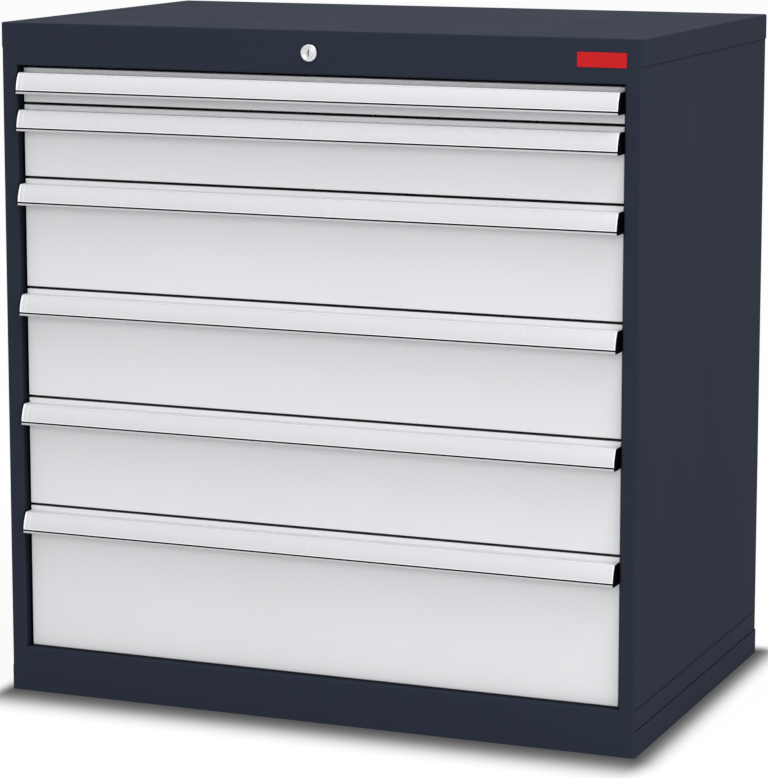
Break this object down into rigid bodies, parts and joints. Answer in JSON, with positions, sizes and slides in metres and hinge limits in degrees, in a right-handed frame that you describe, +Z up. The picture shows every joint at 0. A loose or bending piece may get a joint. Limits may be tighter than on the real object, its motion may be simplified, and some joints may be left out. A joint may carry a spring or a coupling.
{
  "type": "modular drawer cabinet",
  "caption": "Floor-standing sheet-steel drawer cabinet: full-width drawers on extension slides, full-length grips, and a central lock that holds them all shut.",
  "frame": {"origin": "on the floor, at the middle of the cabinet's width and of its depth with the grips", "axes": "+X to the right seen from the front, -Y out of the front, the way the drawers open, +Z up"},
  "size_m": [0.9, 0.5874, 0.919],
  "materials": {
    "casing_paint": "fine-textured powder coat, satin, anthracite",
    "drawer_paint": "smooth powder coat, satin, light grey",
    "tray_paint": "smooth powder coat, satin, light grey",
    "grip_aluminium": "satin anodised extrusion",
    "label_plastic": "clear cover over a pale label strip",
    "cap_plastic": "moulded, fine satin",
    "slide_steel": "zinc plated",
    "lock_nickel": "nickel plated",
    "lock_steel": "zinc plated",
    "plate_enamel": "smooth enamel, plain, with nothing on it"
  },
  "bodies": {
    "casing": {"top_cover": "casing_paint", "plinth_frame": "casing_paint", "floor_panel": "casing_paint", "back_panel": "casing_paint", "back_screws": "slide_steel", "left_side_wall": "casing_paint", "right_side_wall": "casing_paint", "left_cabinet_rails": "slide_steel", "right_cabinet_rails": "slide_steel", "front_posts": "casing_paint", "rear_posts": "casing_paint", "lock_housing": "lock_nickel", "lock_nut": "lock_nickel", "lock_guides": "lock_steel", "name_plate": "plate_enamel"},
    "lock": {"lock_plug": "lock_nickel", "lock_rod": "lock_steel"},
    "locking_bar": {"locking_bar": "lock_steel"},
    "drawer_1": {"drawer_1_tray": "tray_paint", "drawer_1_front": "drawer_paint", "drawer_1_grip": "grip_aluminium", "drawer_1_grip_caps": "cap_plastic", "drawer_1_label_strip": "label_plastic", "drawer_1_runners": "slide_steel"},
    "carriage_1": {"drawer_1_carriage": "slide_steel"},
    "drawer_2": {"drawer_2_tray": "tray_paint", "drawer_2_front": "drawer_paint", "drawer_2_grip": "grip_aluminium", "drawer_2_grip_caps": "cap_plastic", "drawer_2_label_strip": "label_plastic", "drawer_2_runners": "slide_steel"},
    "carriage_2": {"drawer_2_carriage": "slide_steel"},
    "drawer_3": {"drawer_3_tray": "tray_paint", "drawer_3_front": "drawer_paint", "drawer_3_grip": "grip_aluminium", "drawer_3_grip_caps": "cap_plastic", "drawer_3_label_strip": "label_plastic", "drawer_3_runners": "slide_steel"},
    "carriage_3": {"drawer_3_carriage": "slide_steel"},
    "drawer_4": {"drawer_4_tray": "tray_paint", "drawer_4_front": "drawer_paint", "drawer_4_grip": "grip_aluminium", "drawer_4_grip_caps": "cap_plastic", "drawer_4_label_strip": "label_plastic", "drawer_4_runners": "slide_steel"},
    "carriage_4": {"drawer_4_carriage": "slide_steel"},
    "drawer_5": {"drawer_5_tray": "tray_paint", "drawer_5_front": "drawer_paint", "drawer_5_grip": "grip_aluminium", "drawer_5_grip_caps": "cap_plastic", "drawer_5_label_strip": "label_plastic", "drawer_5_runners": "slide_steel"},
    "carriage_5": {"drawer_5_carriage": "slide_steel"},
    "drawer_6": {"drawer_6_tray": "tray_paint", "drawer_6_front": "drawer_paint", "drawer_6_grip": "grip_aluminium", "drawer_6_grip_caps": "cap_plastic", "drawer_6_label_strip": "label_plastic", "drawer_6_runners": "slide_steel"},
    "carriage_6": {"drawer_6_carriage": "slide_steel"}
  },
  "joints": [
    {"name": "drawer_1_slide", "type": "slide", "parent": "casing", "child": "drawer_1", "axis": [0, -1, 0], "range_m": [0, 0.48]},
    {"name": "carriage_1_slide", "type": "slide", "parent": "casing", "child": "carriage_1", "axis": [0, -1, 0], "range_m": [0, 0.24]},
    {"name": "drawer_2_slide", "type": "slide", "parent": "casing", "child": "drawer_2", "axis": [0, -1, 0], "range_m": [0, 0.48]},
    {"name": "carriage_2_slide", "type": "slide", "parent": "casing", "child": "carriage_2", "axis": [0, -1, 0], "range_m": [0, 0.24]},
    {"name": "drawer_3_slide", "type": "slide", "parent": "casing", "child": "drawer_3", "axis": [0, -1, 0], "range_m": [0, 0.48]},
    {"name": "carriage_3_slide", "type": "slide", "parent": "casing", "child": "carriage_3", "axis": [0, -1, 0], "range_m": [0, 0.24]},
    {"name": "drawer_4_slide", "type": "slide", "parent": "casing", "child": "drawer_4", "axis": [0, -1, 0], "range_m": [0, 0.48]},
    {"name": "carriage_4_slide", "type": "slide", "parent": "casing", "child": "carriage_4", "axis": [0, -1, 0], "range_m": [0, 0.24]},
    {"name": "drawer_5_slide", "type": "slide", "parent": "casing", "child": "drawer_5", "axis": [0, -1, 0], "range_m": [0, 0.48]},
    {"name": "carriage_5_slide", "type": "slide", "parent": "casing", "child": "carriage_5", "axis": [0, -1, 0], "range_m": [0, 0.24]},
    {"name": "drawer_6_slide", "type": "slide", "parent": "casing", "child": "drawer_6", "axis": [0, -1, 0], "range_m": [0, 0.48]},
    {"name": "carriage_6_slide", "type": "slide", "parent": "casing", "child": "carriage_6", "axis": [0, -1, 0], "range_m": [0, 0.24]},
    {"name": "lock_turn", "type": "hinge", "parent": "casing", "child": "lock", "pos_m": [0, -0.28125, 0.89], "axis": [0, 1, 0], "range_deg": [0, 90]},
    {"name": "locking_bar_drop", "type": "slide", "parent": "casing", "child": "locking_bar", "axis": [0, 0, -1], "range_m": [0, 0.01]}
  ],
  "couplings": [
    {"joint": "carriage_1_slide", "follows": "drawer_1_slide", "ratio": 0.5},
    {"joint": "carriage_2_slide", "follows": "drawer_2_slide", "ratio": 0.5},
    {"joint": "carriage_3_slide", "follows": "drawer_3_slide", "ratio": 0.5},
    {"joint": "carriage_4_slide", "follows": "drawer_4_slide", "ratio": 0.5},
    {"joint": "carriage_5_slide", "follows": "drawer_5_slide", "ratio": 0.5},
    {"joint": "carriage_6_slide", "follows": "drawer_6_slide", "ratio": 0.5},
    {"joint": "lock_turn", "follows": "locking_bar_drop", "rad_per_m": 157.07}
  ]
}
